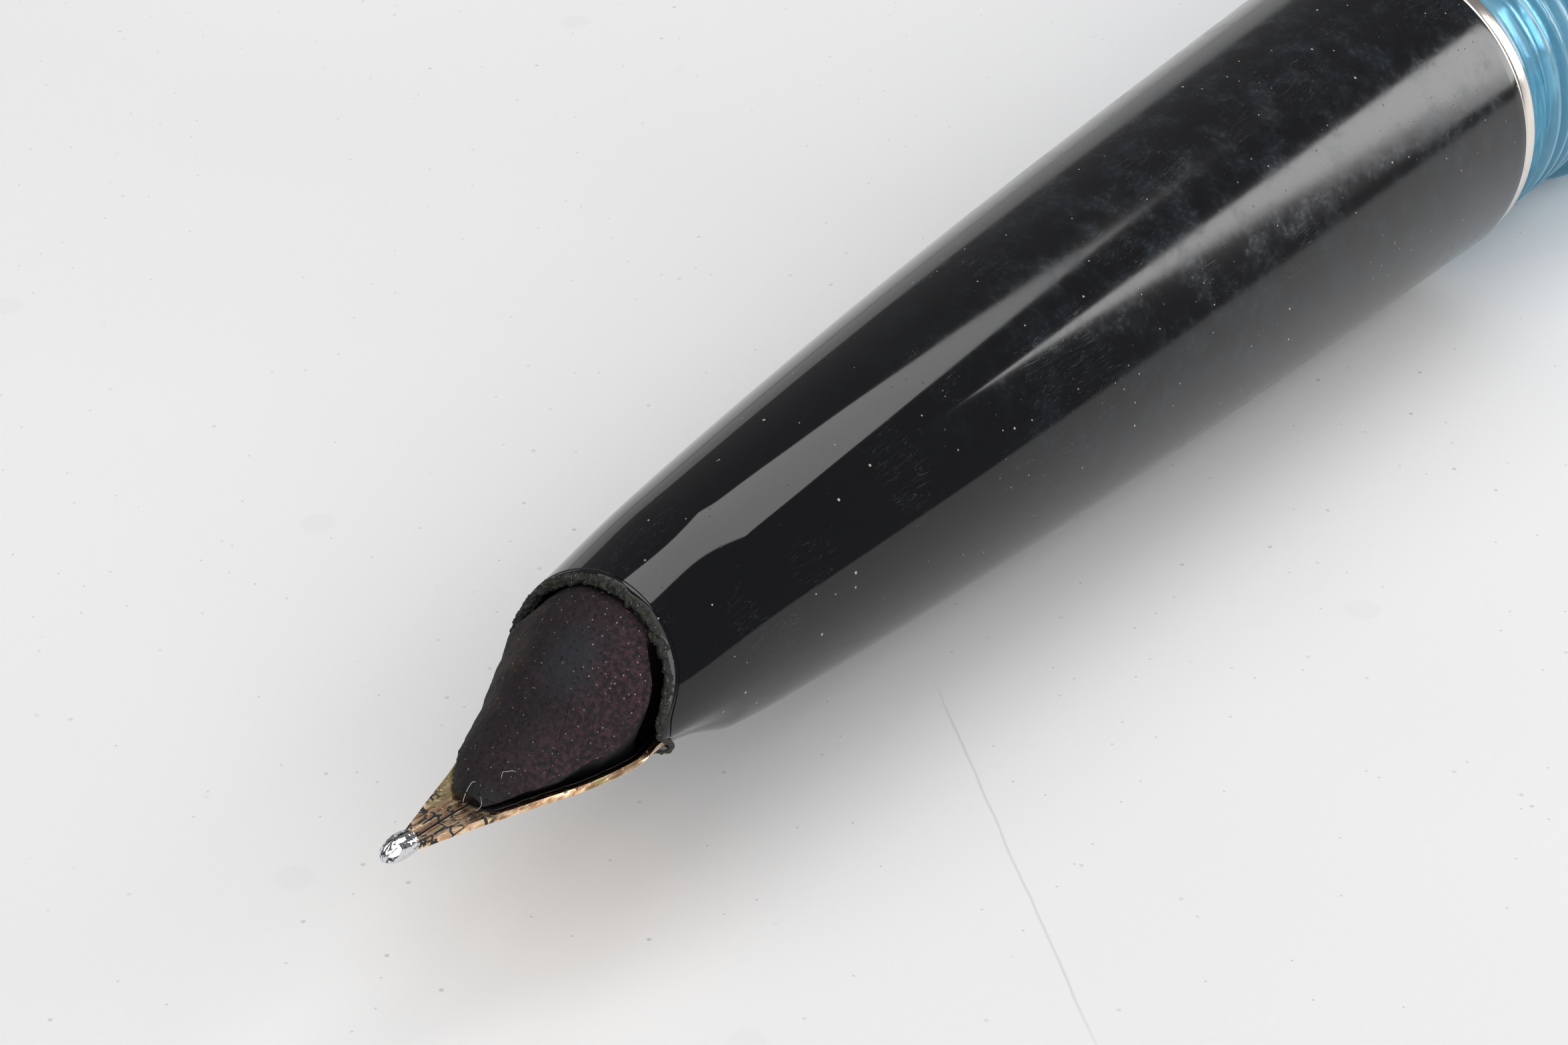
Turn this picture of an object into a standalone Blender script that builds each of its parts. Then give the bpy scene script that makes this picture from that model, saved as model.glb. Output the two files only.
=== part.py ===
"""A piston-filled fountain pen, uncapped, lying on its barrel with the feed side up.

The pen's axis runs along X, from the nib at the low end to the turning knob at the high end.
Lengths along it are counted from the front face of the trim ring. Dimensions are in millimetres
and are scaled to metres where a mesh is made. Every round part is turned about the pen's axis
with the same number of sides, and a flat of each lies underneath, so the pen rests on flats.
"""

import math

import bmesh
import bpy
import numpy as np

MM = 0.001
SIDES = 24
SMALL_SIDES = 16
WELD = 1e-8
SMOOTH_ANGLE = math.radians(35)
FULL_TURN = 2 * math.pi

# Barrel and ring
RING_RADIUS = 5.8
RING_START = 0.05
RING_END = 0.75
BARREL_START = 0.85
BARREL_RADIUS = 6.25
BARREL_SHOULDER = 8.4
BARREL_TAPER_START = 45.0
BARREL_END = 66.0
BARREL_END_RADIUS = 5.9
BORE_RADIUS = 4.45
THREAD_MAJOR = 5.55
THREAD_MINOR = 5.2
THREAD_START = 1.5
THREAD_PITCH = 0.9
THREAD_TURNS = 6
THREAD_RISE = 0.3
THREAD_CREST = 0.15
SHOULDER_BEVEL = 0.2
RELIEF_START = 6.9
RELIEF_RADIUS = 5.62
BARREL_TAPER = [(56.0, 6.12), (BARREL_END, BARREL_END_RADIUS)]

# Section shell: an ogive whose mouth is cut on a slant
MOUTH = -43.68
MOUTH_SLANT = 0.288
MOUTH_BORE = 2.72
UNDERCUT_START = -0.5
UNDERCUT_SLOPE = 0.95
SLEEVE_START = -36.2
CHAMBER_RADIUS = 3.3
RECESS_START = -14.0
RECESS_RADIUS = 4.3
OGIVE_TAPER = 0.0385
OGIVE_DROP = 0.83
OGIVE_LENGTH = 40.0
OGIVE_POWER = 3.34

# Nib: a trough of constant wall, with the feed lying in it
NIB_TIP = -51.0
NIB_TAIL = -33.5
NIB_WALL = 0.26
NIB_RADIUS = 2.5
NIB_ANGLE = math.radians(66)
NIB_EDGE_HEIGHTS = [(-51.0, -0.9), (-49.5, -1.0), (-48.0, -1.1), (-46.5, -1.12), (MOUTH, -1.06)]
TIP_DEPTH = 0.08
SLIT_WIDTH = 0.1
BREATHER_HOLE = -46.3
BREATHER_HOLE_RADIUS = 0.35
NIB_OUTLINE = [
    (-51.0, 0.38),
    (-50.3, 0.62),
    (-49.5, 0.88),
    (-48.0, 1.36),
    (-47.35, 1.6),
    (-46.6, 1.94),
    (-46.0, 2.14),
    (-45.2, 2.36),
    (-44.5, 2.46),
    (MOUTH, 2.284),
]
PELLET_LENGTH = 1.36
PELLET_WIDTH = 0.76
PELLET_HEIGHT = 0.72
PELLET_CENTRE = (-51.64, -0.84)

# Feed
FEED_FRONT = -48.8
FEED_TAIL = -30.0
FEED_TOP = [(-48.8, -0.74), (-46.5, 0.62), (-44.6, 1.95), (-43.3, 2.6)]
FEED_EDGE_WIDTHS = [
    (-48.8, 0.6),
    (-47.7, 1.33),
    (-46.2, 1.92),
    (-45.4, 2.2),
    (-44.6, 2.44),
    (-44.0, 2.44),
    (-43.3, 1.75),
]
FEED_EDGE_HEIGHTS = [
    (-48.8, -0.92),
    (-47.7, -0.68),
    (-46.2, -0.49),
    (-45.4, -0.28),
    (-44.6, 0.16),
    (-44.0, 0.88),
    (-43.3, 1.9),
]
FEED_CLEARANCE = 0.05
FEED_RADIUS = 2.6
FEED_TAIL_RADIUS = 1.9
CHANNEL_HALF_WIDTH = 0.2
CHANNEL_DEPTH = 0.45
FOOT_SHARE = 0.66
LEAST_FLANK = 0.05
CROWN_POWER = 0.8

# Inside the section
SLEEVE_FRONT = -36.0
SLEEVE_REAR = -31.2
SLEEVE_RADIUS = 3.2
COLLECTOR_FRONT = -28.9
COLLECTOR_REAR = -13.0
COLLECTOR_CORE = 2.0
COLLECTOR_BORE = 0.75
FIN_RADIUS = 3.1
FIN_WIDTH = 0.5
FIN_PITCH = 1.3
FIN_COUNT = 10
BREATHER_TUBE_FRONT = -29.6
BREATHER_TUBE_REAR = 9.8
BREATHER_TUBE_RADIUS = 0.6
BREATHER_TUBE_BORE = 0.35
CONNECTOR_FRONT = -13.7
CONNECTOR_COLLAR_END = 0.9
CONNECTOR_REAR = 8.6
CONNECTOR_RADIUS = 4.2
CONNECTOR_ROOT = 4.05
CONNECTOR_CREST = 4.35
CONNECTOR_BORE = 2.2
CONNECTOR_THREAD_START = 1.4
CONNECTOR_THREADS = 4
GROOVE_FRONT = 6.2
GROOVE_REAR = 7.2
GROOVE_FLOOR = 3.5
O_RING_RADIUS = 3.95
O_RING_THICKNESS = 0.38
TRIM_RING_BORE = 4.4

# Piston filler: the knob turns a twisted spindle, which carries the rod along
LEAD = 5.5
TURNS = 4
TRAVEL = LEAD * TURNS
HEAD_FRONT = 32.6
HEAD_REAR = 36.0
GUIDE_FRONT = 36.3
GUIDE_WALL_END = 38.3
NUT_FRONT = GUIDE_WALL_END + TRAVEL + 0.3
NUT_REAR = NUT_FRONT + 2.0
NUT_RADIUS = 3.05
HEAD_RADIUS = 3.3
HEAD_BEVEL = 0.3
HEAD_NECK = 1.6
SEAL_LIP = 4.38
SEAL_WAIST = 4.15
SEAL_BORE = 3.38
SEAL_EDGE = 3.6
SPINDLE_FRONT = NUT_FRONT - TRAVEL - 0.6
SPINDLE_SCREW_END = 63.3
SPINDLE_HALF_WIDTH = 1.3
SPINDLE_HALF_THICKNESS = 0.6
SPINDLE_CLEARANCE = 0.15
TWIST_STEP = 0.23
ROD_RADIUS = 2.4
ROD_FLAT = 2.0
ROD_BORE = 1.7
ROD_CLEARANCE = 0.1
GUIDE_BORE = 3.2
GUIDE_RADIUS = 4.33
GUIDE_FLANGE_START = 66.1
GUIDE_FLANGE_RADIUS = 5.2
GUIDE_REAR = 67.0
END_RING_RADIUS = 6.0
END_RING_BORE = 5.3
RETAINER_FRONT = 64.9
RETAINER_REAR = 66.4
RETAINER_RADIUS = 3.1
RETAINER_BORE = 1.75
WASHER_FRONT = 67.1
WASHER_REAR = 67.55
WASHER_RADIUS = 4.8
WASHER_BORE = 1.85

# Knob
KNOB_START = 67.7
KNOB_END = 80.5
PEN_END = 82.6
SHAFT_RADIUS = 1.6
SHAFT_END = 72.0
FLANGE_FRONT = 63.1
FLANGE_REAR = 64.6
FLANGE_RADIUS = 2.9
KNOB_BORE = 1.68
KNOB_NECK = 5.35
KNOB_NECK_END = 68.75
KNOB_PROFILE = [(KNOB_NECK_END, 5.95), (70.0, 5.98), (76.0, 5.8), (79.6, 5.4), (KNOB_END, 4.9)]
KNOB_RING_END = 68.65
KNOB_RING_RADIUS = 6.05
KNOB_RING_BORE = 5.42
FINIAL_START = KNOB_END + 0.05
FINIAL_PROFILE = [(FINIAL_START, 4.75), (81.5, 4.4), (82.3, 3.6), (PEN_END, 2.9)]

PEN_START = PELLET_CENTRE[0] - PELLET_LENGTH / 2
AXIS_HEIGHT = BARREL_RADIUS * math.cos(math.pi / SIDES)
AXIS_X = -(PEN_START + PEN_END) / 2


def clear_scene():
    for thing in list(bpy.data.objects):
        bpy.data.objects.remove(thing, do_unlink=True)


def finish(colour, roughness, metallic=0.0, alpha=1.0):
    """A function that gives an object its own Principled material."""

    def apply(piece):
        material = bpy.data.materials.new(piece.name)
        material.use_nodes = True
        shader = material.node_tree.nodes["Principled BSDF"]
        shader.inputs["Base Color"].default_value = (*colour, 1.0)
        shader.inputs["Roughness"].default_value = roughness
        shader.inputs["Metallic"].default_value = metallic
        shader.inputs["Alpha"].default_value = alpha
        piece.data.materials.append(material)

    return apply


BLACK_PLASTIC = finish((0.012, 0.012, 0.014), 0.12)
DARK_PLASTIC = finish((0.03, 0.03, 0.035), 0.4)
INKED_FEED = finish((0.035, 0.018, 0.026), 0.6)
BLUE_PLASTIC = finish((0.12, 0.42, 0.66), 0.08, alpha=0.45)
CLEAR_PLASTIC = finish((0.8, 0.86, 0.9), 0.15, alpha=0.6)
WHITE_PLASTIC = finish((0.82, 0.82, 0.8), 0.35)
GOLD = finish((0.83, 0.6, 0.34), 0.22, 1.0)
SILVER = finish((0.82, 0.8, 0.76), 0.12, 1.0)
TIPPING = finish((0.78, 0.78, 0.8), 0.1, 1.0)
BRASS = finish((0.78, 0.62, 0.32), 0.25, 1.0)
RUBBER = finish((0.02, 0.02, 0.02), 0.8)


def empty(name, parent=None, along=0.0):
    """A carrier on the pen's axis, at a length along it."""
    carrier = bpy.data.objects.new(name, None)
    bpy.context.collection.objects.link(carrier)
    carrier.parent = parent
    carrier.location = (along * MM, 0, 0)
    return carrier


def place(name, mesh, carrier, material):
    """An object made from a bmesh in millimetres, on a carrier that lies on the pen's axis."""
    bmesh.ops.remove_doubles(mesh, verts=mesh.verts, dist=WELD / MM)
    bmesh.ops.recalc_face_normals(mesh, faces=mesh.faces)
    shift = carrier.location.x / MM if carrier.parent else 0.0
    bmesh.ops.translate(mesh, verts=mesh.verts, vec=(-shift, 0, 0))
    bmesh.ops.scale(mesh, verts=mesh.verts, vec=(MM, MM, MM))
    data = bpy.data.meshes.new(name)
    mesh.to_mesh(data)
    mesh.free()
    data.shade_smooth()
    data.set_sharp_from_angle(angle=SMOOTH_ANGLE)
    piece = bpy.data.objects.new(name, data)
    bpy.context.collection.objects.link(piece)
    piece.parent = carrier
    material(piece)
    return piece


def spun(profile, sides=SIDES):
    """A closed profile of (length, radius) points spun about the pen's axis, a flat underneath."""
    mesh = bmesh.new()
    half = math.pi / sides
    start = np.array([math.sin(half), -math.cos(half)])
    points = [mesh.verts.new((along, *(radius * start))) for along, radius in profile]
    edges = [mesh.edges.new((a, b)) for a, b in zip(points, points[1:] + points[:1])]
    geom = points + edges
    circle = {"cent": (0, 0, 0), "axis": (1, 0, 0), "angle": FULL_TURN, "steps": sides}
    bmesh.ops.spin(mesh, geom=geom, use_merge=True, **circle)
    bmesh.ops.remove_doubles(mesh, verts=mesh.verts, dist=WELD / MM)
    on_axis = [edge for edge in mesh.edges if not edge.link_faces]
    bmesh.ops.delete(mesh, geom=on_axis, context="EDGES")
    return mesh


def lofted(rings):
    """Rings of equally many points, joined side to side and closed with a face at each end."""
    mesh = bmesh.new()
    loops = [[mesh.verts.new(point) for point in ring] for ring in rings]
    for first, second in zip(loops, loops[1:]):
        for i, point in enumerate(first):
            j = (i + 1) % len(first)
            mesh.faces.new((point, first[j], second[j], second[i]))
    mesh.faces.new(loops[0][::-1])
    mesh.faces.new(loops[-1])
    bmesh.ops.triangulate(mesh, faces=[face for face in mesh.faces if len(face.verts) > 4])
    return mesh


def cut(piece, cutter):
    """Takes a cutter's volume out of a piece with a Boolean."""
    cutter.hide_render = True
    cutter.display_type = "WIRE"
    boolean = piece.modifiers.new(cutter.name, "BOOLEAN")
    boolean.operation = "DIFFERENCE"
    boolean.solver = "EXACT"
    boolean.object = cutter


def block(low, high):
    """A box between two corners."""
    mesh = bmesh.new()
    bmesh.ops.create_cube(mesh, size=1.0)
    bmesh.ops.scale(mesh, verts=mesh.verts, vec=np.subtract(high, low))
    bmesh.ops.translate(mesh, verts=mesh.verts, vec=np.add(high, low) / 2)
    return mesh


def section_radius(along):
    """The ogive: the ring's radius, less a straight taper, less a power that steepens to the mouth."""
    back = np.abs(along)
    return RING_RADIUS - OGIVE_TAPER * back - OGIVE_DROP * (back / OGIVE_LENGTH) ** OGIVE_POWER


def smooth_through(points, along):
    """A monotone cubic through (length, value) points, read at a length."""
    xs, ys = np.array(points).T
    secants = np.diff(ys) / np.diff(xs)
    slopes = np.concatenate([secants[:1], (secants[1:] + secants[:-1]) / 2, secants[-1:]])
    i = int(np.clip(np.searchsorted(xs, along) - 1, 0, len(xs) - 2))
    width = xs[i + 1] - xs[i]
    t = np.clip((along - xs[i]) / width, 0, 1)
    rise = ys[i] * (1 + 2 * t) * (1 - t) ** 2 + ys[i + 1] * t * t * (3 - 2 * t)
    return rise + width * (slopes[i] * t * (1 - t) ** 2 - slopes[i + 1] * t * t * (1 - t))


def trough(along):
    """The nib's middle surface at a length: half width, radius, half angle and height of its centre."""
    half_width = smooth_through(NIB_OUTLINE, along)
    tail_depth = NIB_RADIUS * (1 - math.cos(NIB_ANGLE))
    openness = np.clip((along - NIB_TIP) / (MOUTH - NIB_TIP), 0, 1)
    depth = TIP_DEPTH + (tail_depth - TIP_DEPTH) * openness**2.6
    radius = (half_width**2 + depth**2) / (2 * depth)
    half_angle = 2 * math.atan2(depth, half_width)
    centre = smooth_through(NIB_EDGE_HEIGHTS, along) + radius * math.cos(half_angle)
    return half_width, radius, half_angle, centre


def make_section_shell(carrier):
    """The long black section: an ogive with a stepped bore, its slanted mouth cut back underneath."""
    stations = np.concatenate([[MOUTH + 0.2], np.arange(-41.5, -1, 2.5), [0.0]])
    outer = [(x, section_radius(x)) for x in stations]
    inner = [
        (0.0, RECESS_RADIUS),
        (RECESS_START, RECESS_RADIUS),
        (RECESS_START, CHAMBER_RADIUS),
        (SLEEVE_START, CHAMBER_RADIUS),
        (SLEEVE_START, MOUTH_BORE),
        (MOUTH, MOUTH_BORE),
        (MOUTH, section_radius(MOUTH) - 0.1),
    ]
    mesh = spun(outer + inner)
    for vertex in mesh.verts:
        if vertex.co.x < MOUTH + 0.3:
            below = max(0.0, UNDERCUT_START - vertex.co.z)
            vertex.co.x += MOUTH_SLANT * vertex.co.z + UNDERCUT_SLOPE * below
    return place("section_shell", mesh, carrier, BLACK_PLASTIC)


def make_nib(carrier):
    """The nib's trough, then its slit and breather hole."""
    stations = np.concatenate([np.linspace(NIB_TIP, MOUTH, 22), np.linspace(-42.0, NIB_TAIL, 4)])
    across = np.linspace(-1, 1, 11)
    rings = []
    for x in stations:
        _, radius, half_angle, centre = trough(x)
        turns = across * half_angle
        outer = radius + NIB_WALL / 2
        inner = radius - NIB_WALL / 2
        under = [(x, outer * math.sin(t), centre - outer * math.cos(t)) for t in turns]
        over = [(x, inner * math.sin(t), centre - inner * math.cos(t)) for t in turns[::-1]]
        rings.append(under + over)
    nib = place("nib", lofted(rings), carrier, GOLD)
    slit = block((NIB_TIP - 1, -SLIT_WIDTH / 2, -4), (BREATHER_HOLE, SLIT_WIDTH / 2, 1))
    cut(nib, place("slit_cutter", slit, carrier, GOLD))
    hole = bmesh.new()
    radii = {"radius1": BREATHER_HOLE_RADIUS, "radius2": BREATHER_HOLE_RADIUS}
    bmesh.ops.create_cone(hole, cap_ends=True, segments=SMALL_SIDES, depth=6, **radii)
    bmesh.ops.translate(hole, verts=hole.verts, vec=(BREATHER_HOLE, 0, -2))
    cut(nib, place("breather_hole_cutter", hole, carrier, GOLD))


def make_tipping(name, side, carrier):
    """One half of the egg-shaped tipping pellet, flat along the slit and where it meets the nib."""
    along, height = PELLET_CENTRE
    size = (PELLET_LENGTH / 2, PELLET_WIDTH / 2, PELLET_HEIGHT / 2)
    mesh = bmesh.new()
    bmesh.ops.create_uvsphere(mesh, u_segments=SMALL_SIDES, v_segments=10, radius=1.0)
    bmesh.ops.scale(mesh, verts=mesh.verts, vec=size)
    bmesh.ops.translate(mesh, verts=mesh.verts, vec=(along, 0, height))
    faces = [((0, side * SLIT_WIDTH / 2, 0), (0, -side, 0)), ((NIB_TIP - 0.04, 0, 0), (1, 0, 0))]
    for point, outward in faces:
        everything = mesh.verts[:] + mesh.edges[:] + mesh.faces[:]
        plane = {"plane_co": point, "plane_no": outward}
        sliced = bmesh.ops.bisect_plane(mesh, geom=everything, clear_outer=True, **plane)
        rim = [edge for edge in sliced["geom_cut"] if isinstance(edge, bmesh.types.BMEdge)]
        bmesh.ops.edgenet_fill(mesh, edges=rim)
    return place(name, mesh, carrier, TIPPING)


def feed_ring(along):
    """One section of the feed: a channelled underside, undercut sides and a crowned leaf on top."""
    _, radius, _, centre = trough(along)
    top = smooth_through(FEED_TOP, along)
    width = smooth_through(FEED_EDGE_WIDTHS, along)
    height = smooth_through(FEED_EDGE_HEIGHTS, along)
    seat = radius - NIB_WALL / 2 - FEED_CLEARANCE
    foot = math.asin(min(FOOT_SHARE * width / seat, 1))
    start = math.asin(CHANNEL_HALF_WIDTH / seat)
    turns = np.linspace(start, foot, 5)
    under = [(seat * math.sin(t), centre - seat * math.cos(t)) for t in turns]
    height = max(height, under[-1][1] + LEAST_FLANK)
    bottom = under[0][1]
    roof = bottom + min(CHANNEL_DEPTH, 0.35 * (top - bottom))
    shares = (1.0, 0.94, 0.8, 0.6, 0.4, 0.2)
    crown = [(1 - f * f) ** CROWN_POWER for f in shares]
    crest = [(width * f, height + (top - height) * c) for f, c in zip(shares, crown)]
    limited = [keep_inside(y, z) for y, z in [(CHANNEL_HALF_WIDTH, roof)] + under + crest]
    left = [(-y, z) for y, z in limited[::-1]]
    return [(along, y, z) for y, z in limited + [(0.0, top)] + left]


def keep_inside(y, z):
    """A point drawn in to the circle that fits the section's mouth."""
    reach = math.hypot(y, z)
    shrink = min(1.0, FEED_RADIUS / reach)
    return y * shrink, z * shrink


def make_feed(carrier):
    """The feed: a sloping leaf in front of the mouth, and the rod behind it that the sleeve holds."""
    rings = [feed_ring(x) for x in np.linspace(FEED_FRONT, -43.0, 14)]
    rings += [feed_ring(x) for x in (-41.0, -36.6)]
    stem = [(x, y, z) for x, y, z in feed_ring(-36.4)]
    for x in (-36.4, FEED_TAIL):
        shrink = FEED_TAIL_RADIUS / FEED_RADIUS
        rings.append([(x, y * shrink, z * shrink) for _, y, z in stem])
    return place("feed", lofted(rings), carrier, INKED_FEED)


def tube(start, end, outer, inner):
    """The profile of a plain tube."""
    return [(start, outer), (end, outer), (end, inner), (start, inner)]


def make_front_internals(carrier):
    """What holds the nib and feed, and what carries ink and air between them and the barrel."""
    sleeve = tube(SLEEVE_FRONT, SLEEVE_REAR, SLEEVE_RADIUS, MOUTH_BORE)
    place("nib_sleeve", spun(sleeve), carrier, DARK_PLASTIC)
    fins = [(COLLECTOR_FRONT, COLLECTOR_CORE)]
    for i in range(FIN_COUNT):
        x = COLLECTOR_FRONT + FIN_WIDTH + i * FIN_PITCH
        fins += [(x, COLLECTOR_CORE), (x, FIN_RADIUS)]
        fins += [(x + FIN_WIDTH, FIN_RADIUS), (x + FIN_WIDTH, COLLECTOR_CORE)]
    fins += [(COLLECTOR_REAR, COLLECTOR_CORE), (COLLECTOR_REAR, COLLECTOR_BORE)]
    fins += [(COLLECTOR_FRONT, COLLECTOR_BORE)]
    place("ink_collector", spun(fins, SMALL_SIDES), carrier, DARK_PLASTIC)
    breather = tube(BREATHER_TUBE_FRONT, BREATHER_TUBE_REAR, BREATHER_TUBE_RADIUS, BREATHER_TUBE_BORE)
    place("breather_tube", spun(breather, SMALL_SIDES), carrier, CLEAR_PLASTIC)
    place("section_connector", spun(connector_profile()), carrier, BLUE_PLASTIC)
    groove_middle = (GROOVE_FRONT + GROOVE_REAR) / 2
    cord = ring_profile(groove_middle, O_RING_RADIUS, O_RING_THICKNESS)
    place("section_o_ring", spun(cord), carrier, RUBBER)
    band = ring_band(RING_START, RING_END, RING_RADIUS, TRIM_RING_BORE)
    place("trim_ring", spun(band), carrier, SILVER)


def connector_profile():
    """The tube that joins section and barrel: collar, thread ridges, o-ring groove, rear lip."""
    outline = [(CONNECTOR_FRONT, CONNECTOR_RADIUS), (CONNECTOR_COLLAR_END, CONNECTOR_RADIUS)]
    for turn in range(CONNECTOR_THREADS):
        x = CONNECTOR_THREAD_START + turn * THREAD_PITCH
        outline += [(x, CONNECTOR_ROOT), (x + THREAD_PITCH / 3, CONNECTOR_CREST)]
        outline += [(x + THREAD_PITCH * 2 / 3, CONNECTOR_ROOT)]
    outline += [(GROOVE_FRONT, CONNECTOR_ROOT), (GROOVE_FRONT, GROOVE_FLOOR)]
    outline += [(GROOVE_REAR, GROOVE_FLOOR), (GROOVE_REAR, CONNECTOR_ROOT)]
    outline += [(CONNECTOR_REAR, CONNECTOR_ROOT), (CONNECTOR_REAR, CONNECTOR_BORE)]
    return outline + [(CONNECTOR_FRONT, CONNECTOR_BORE)]


def ring_profile(along, radius, thickness):
    """An eight-sided cord section, for an o-ring."""
    turns = np.arange(8) * FULL_TURN / 8
    return [(along + thickness * math.sin(t), radius + thickness * math.cos(t)) for t in turns]


def ring_band(start, end, outer, inner):
    """A flat band with its two outer edges eased."""
    ease = 0.12
    return [
        (start, outer - ease),
        (start + ease, outer),
        (end - ease, outer),
        (end, outer - ease),
        (end, inner),
        (start, inner),
    ]


def make_barrel(carrier):
    """The translucent barrel: cap threads as ridges, a land, a square shoulder, a plain bore."""
    outer = [(BARREL_START, THREAD_MINOR)]
    for turn in range(THREAD_TURNS):
        x = THREAD_START + turn * THREAD_PITCH
        outer += [(x, THREAD_MINOR), (x + THREAD_RISE, THREAD_MAJOR)]
        crest_end = x + THREAD_RISE + THREAD_CREST
        outer += [(crest_end, THREAD_MAJOR), (crest_end + THREAD_RISE, THREAD_MINOR)]
    outer += [(RELIEF_START, RELIEF_RADIUS), (BARREL_SHOULDER, RELIEF_RADIUS)]
    outer += [(BARREL_SHOULDER, BARREL_RADIUS - SHOULDER_BEVEL)]
    outer += [(BARREL_SHOULDER + SHOULDER_BEVEL, BARREL_RADIUS)]
    outer += [(BARREL_TAPER_START, BARREL_RADIUS)] + BARREL_TAPER
    inner = [(BARREL_END, BORE_RADIUS), (BARREL_START, BORE_RADIUS)]
    place("barrel", spun(outer + inner), carrier, BLUE_PLASTIC)


def flatted_circle(radius, flat, points=9):
    """A circle with two flats, above and below, as (y, z) points on its two arcs."""
    start = math.acos(flat / radius)
    arc = np.linspace(start, math.pi - start, points)
    turns = np.concatenate([arc, arc + math.pi])
    return [(radius * math.sin(t), radius * math.cos(t)) for t in turns]


def prism(outline, start, end):
    return lofted([[(x, y, z) for y, z in outline] for x in (start, end)])


def twisted_bar(start, end, half_width, half_thickness, steps):
    """A flat bar twisted about the axis: one turn for each lead."""
    corners = [(half_width, half_thickness), (-half_width, half_thickness)]
    corners += [(-half_width, -half_thickness), (half_width, -half_thickness)]
    rings = []
    for x in np.linspace(start, end, steps + 1):
        turn = FULL_TURN * (x - NUT_FRONT) / LEAD
        c, s = math.cos(turn), math.sin(turn)
        rings.append([(x, y * c - z * s, y * s + z * c) for y, z in corners])
    return lofted(rings)


def make_piston(carrier):
    """The piston: head, seal, hollow rod with two flats, and the nut pressed on the rod's rear end."""
    head = [(HEAD_FRONT, 0.0), (HEAD_FRONT, HEAD_RADIUS - HEAD_BEVEL)]
    head += [(HEAD_FRONT + HEAD_BEVEL, HEAD_RADIUS), (HEAD_REAR, HEAD_RADIUS), (HEAD_REAR, HEAD_NECK)]
    head += [(HEAD_REAR + 1.2, HEAD_NECK), (HEAD_REAR + 1.2, 0.0)]
    place("piston_head", spun(head), carrier, DARK_PLASTIC)
    seal = [(HEAD_FRONT + 0.4, SEAL_EDGE), (HEAD_FRONT + 0.4, SEAL_LIP), (HEAD_FRONT + 0.9, SEAL_LIP)]
    seal += [(HEAD_FRONT + 1.3, SEAL_WAIST), (HEAD_REAR - 0.9, SEAL_WAIST), (HEAD_REAR - 0.5, SEAL_LIP)]
    seal += [(HEAD_REAR, SEAL_LIP), (HEAD_REAR, SEAL_EDGE)]
    seal += [(HEAD_REAR - 0.6, SEAL_BORE), (HEAD_FRONT + 1.0, SEAL_BORE)]
    place("piston_seal", spun(seal), carrier, WHITE_PLASTIC)
    outline = flatted_circle(ROD_RADIUS, ROD_FLAT)
    rod = place("piston_rod", prism(outline, HEAD_REAR + 0.1, NUT_FRONT - 0.05), carrier, WHITE_PLASTIC)
    bore = [(HEAD_REAR - 1, 0.0), (HEAD_REAR - 1, ROD_BORE), (NUT_REAR, ROD_BORE), (NUT_REAR, 0.0)]
    cut(rod, place("rod_bore_cutter", spun(bore), carrier, WHITE_PLASTIC))
    disc = [(NUT_FRONT, 0.0), (NUT_FRONT, NUT_RADIUS), (NUT_REAR, NUT_RADIUS), (NUT_REAR, 0.0)]
    nut = place("rod_nut", spun(disc), carrier, BRASS)
    margin = 0.4
    slot = twisted_bar(
        NUT_FRONT - margin,
        NUT_REAR + margin,
        SPINDLE_HALF_WIDTH + SPINDLE_CLEARANCE,
        SPINDLE_HALF_THICKNESS + SPINDLE_CLEARANCE,
        12,
    )
    cut(nut, place("nut_slot_cutter", slot, carrier, BRASS))


def make_guide(carrier):
    """The fixed sleeve in the barrel's rear: its front wall keeps the rod from turning."""
    body = [(GUIDE_FRONT, 0.0), (GUIDE_FRONT, GUIDE_RADIUS), (GUIDE_FLANGE_START, GUIDE_RADIUS)]
    body += [(GUIDE_FLANGE_START, GUIDE_FLANGE_RADIUS), (GUIDE_REAR, GUIDE_FLANGE_RADIUS)]
    body += [(GUIDE_REAR, GUIDE_BORE), (GUIDE_WALL_END, GUIDE_BORE), (GUIDE_WALL_END, 0.0)]
    guide = place("guide_collar", spun(body), carrier, DARK_PLASTIC)
    outline = flatted_circle(ROD_RADIUS + ROD_CLEARANCE, ROD_FLAT + ROD_CLEARANCE)
    hole = prism(outline, GUIDE_FRONT - 1, GUIDE_WALL_END + 0.5)
    cut(guide, place("guide_hole_cutter", hole, carrier, DARK_PLASTIC))
    retainer = tube(RETAINER_FRONT, RETAINER_REAR, RETAINER_RADIUS, RETAINER_BORE)
    place("spindle_retainer", spun(retainer), carrier, BRASS)
    band = ring_band(GUIDE_FLANGE_START, GUIDE_REAR, END_RING_RADIUS, END_RING_BORE)
    place("barrel_end_ring", spun(band), carrier, BRASS)
    washer = tube(WASHER_FRONT, WASHER_REAR, WASHER_RADIUS, WASHER_BORE)
    place("friction_washer", spun(washer), carrier, RUBBER)


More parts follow.
